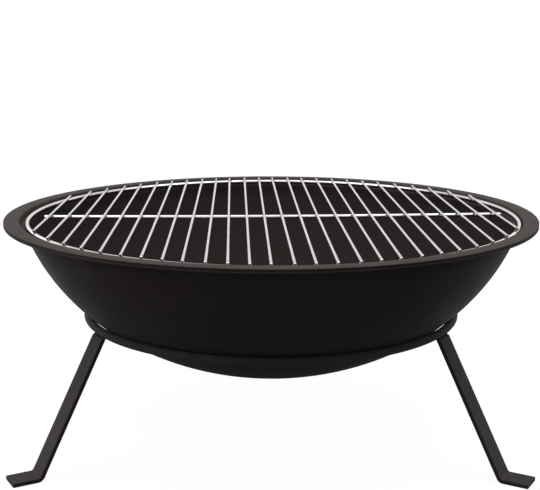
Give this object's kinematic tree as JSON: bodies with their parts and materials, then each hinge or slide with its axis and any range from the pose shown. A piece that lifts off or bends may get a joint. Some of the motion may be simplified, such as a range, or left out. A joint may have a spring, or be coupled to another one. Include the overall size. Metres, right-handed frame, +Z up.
{
  "type": "fire pit grill",
  "caption": "Portable fire pit: a round steel bowl with a flat rim, lifted off a three-legged ring stand, under a loose round wire cooking grill.",
  "frame": {"origin": "on the ground under the bowl's axis, in the plane that the three feet stand on", "axes": "+Z up along the bowl's axis, +Y towards the rear leg, -Y towards the side that the picture shows"},
  "size_m": [0.56, 0.5768, 0.2483],
  "materials": {
    "bowl_paint": "satin black high-temperature paint",
    "stand_paint": "satin black high-temperature paint",
    "chrome_wire": "bright chrome plate over welded steel wire"
  },
  "bodies": {
    "stand": {"stand_ring": "stand_paint", "leg_front_left": "stand_paint", "leg_front_right": "stand_paint", "leg_rear": "stand_paint"},
    "bowl": {"bowl": "bowl_paint"},
    "grill": {"grill_ring": "chrome_wire", "grill_cross_bar": "chrome_wire", "grill_bar_01": "chrome_wire", "grill_bar_02": "chrome_wire", "grill_bar_03": "chrome_wire", "grill_bar_04": "chrome_wire", "grill_bar_05": "chrome_wire", "grill_bar_06": "chrome_wire", "grill_bar_07": "chrome_wire", "grill_bar_08": "chrome_wire", "grill_bar_09": "chrome_wire", "grill_bar_10": "chrome_wire", "grill_bar_11": "chrome_wire", "grill_bar_12": "chrome_wire", "grill_bar_13": "chrome_wire", "grill_bar_14": "chrome_wire", "grill_bar_15": "chrome_wire", "grill_bar_16": "chrome_wire", "grill_bar_17": "chrome_wire", "grill_bar_18": "chrome_wire", "grill_bar_19": "chrome_wire", "grill_bar_20": "chrome_wire", "grill_bar_21": "chrome_wire", "grill_bar_22": "chrome_wire", "grill_bar_23": "chrome_wire", "grill_bar_24": "chrome_wire", "grill_bar_25": "chrome_wire", "grill_bar_26": "chrome_wire"}
  },
  "joints": [
    {"name": "bowl_lift", "type": "slide", "parent": "stand", "child": "bowl", "axis": [0, 0, 1], "range_m": [0, 0.12]},
    {"name": "grill_lift", "type": "slide", "parent": "bowl", "child": "grill", "axis": [0, 0, 1], "range_m": [0, 0.15]}
  ]
}
